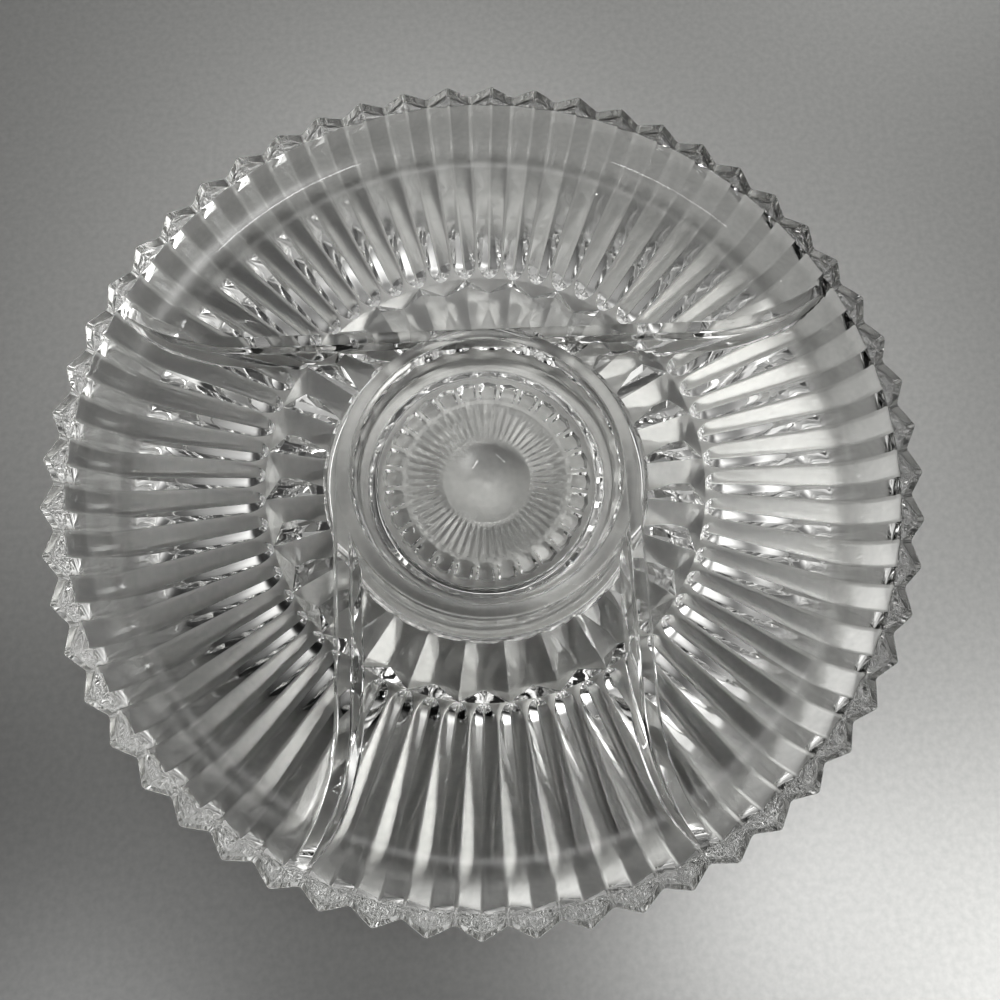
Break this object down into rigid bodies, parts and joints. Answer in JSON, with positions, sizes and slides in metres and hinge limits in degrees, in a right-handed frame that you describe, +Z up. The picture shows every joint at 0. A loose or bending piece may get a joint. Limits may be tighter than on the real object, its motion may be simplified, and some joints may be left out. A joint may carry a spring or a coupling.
{
  "type": "relish tray",
  "caption": "Round clear pressed-glass relish tray with a sawtooth edge, a round centre compartment and four around it, patterned underneath.",
  "frame": {"origin": "centre of the foot's underside, on the table", "axes": "+Z up out of the compartments; +Y from the centre towards the widest outer compartment, along the mirror line of the four outer compartments"},
  "size_m": [0.3044, 0.3044, 0.026],
  "materials": {
    "clear_glass": "polished, faintly warm clear pressed glass"
  },
  "bodies": {
    "root": {"sawtooth_rim": "clear_glass", "outer_wall": "clear_glass", "rib_floor": "clear_glass", "diamond_band": "clear_glass", "foot_ring": "clear_glass", "centre_ring": "clear_glass", "facet_ring": "clear_glass", "ray_ring": "clear_glass", "centre_lens": "clear_glass", "divider_upper_left": "clear_glass", "divider_upper_right": "clear_glass", "divider_lower_left": "clear_glass", "divider_lower_right": "clear_glass"}
  },
  "joints": []
}
